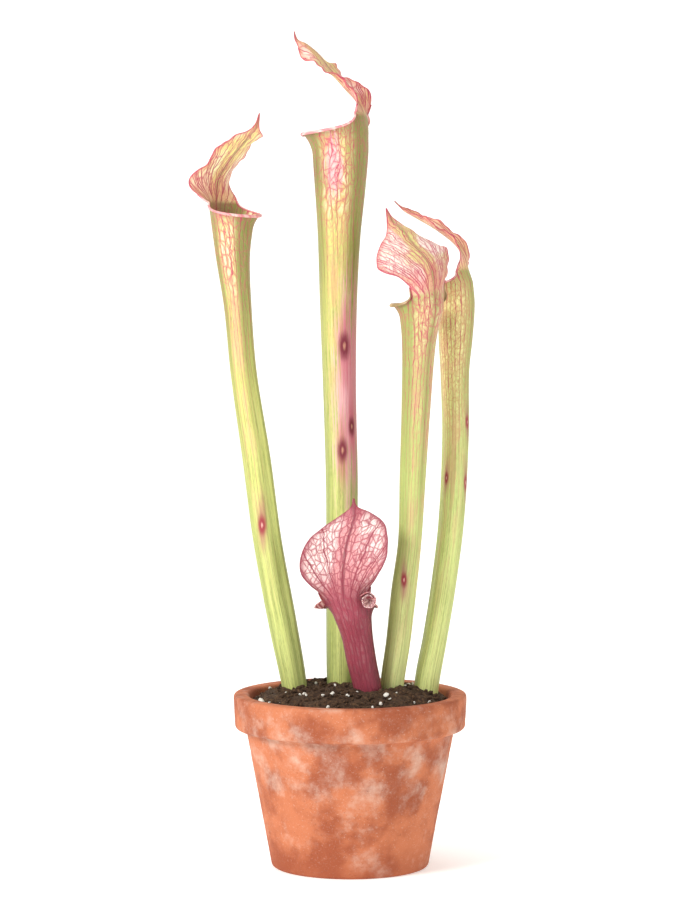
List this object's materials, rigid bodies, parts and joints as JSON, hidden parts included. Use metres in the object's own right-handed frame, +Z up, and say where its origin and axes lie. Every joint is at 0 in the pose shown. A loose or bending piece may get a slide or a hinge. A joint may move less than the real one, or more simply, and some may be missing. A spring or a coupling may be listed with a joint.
{
  "type": "potted trumpet pitcher plant",
  "caption": "Pitcher plant in a plain round clay pot: slender trumpet leaves with flared, rolled mouths and arched lids rise from a rhizome buried in peat.",
  "frame": {"origin": "middle of the pot's flat foot, on the surface it stands on", "axes": "+Z up; -Y is the front, the side the picture shows, and +X is the picture's right"},
  "size_m": [0.1692, 0.14, 0.5005],
  "materials": {
    "clay": "matte",
    "peat": "matte",
    "rhizome": "matte",
    "leaf_green": "satin",
    "leaf_red": "satin"
  },
  "bodies": {
    "root": {"pot": "clay", "peat": "peat", "rhizome": "rhizome", "pitcher_left": "leaf_green", "pitcher_tallest": "leaf_green", "pitcher_middle": "leaf_green", "pitcher_right": "leaf_green", "pitcher_young_red": "leaf_red"}
  },
  "joints": []
}
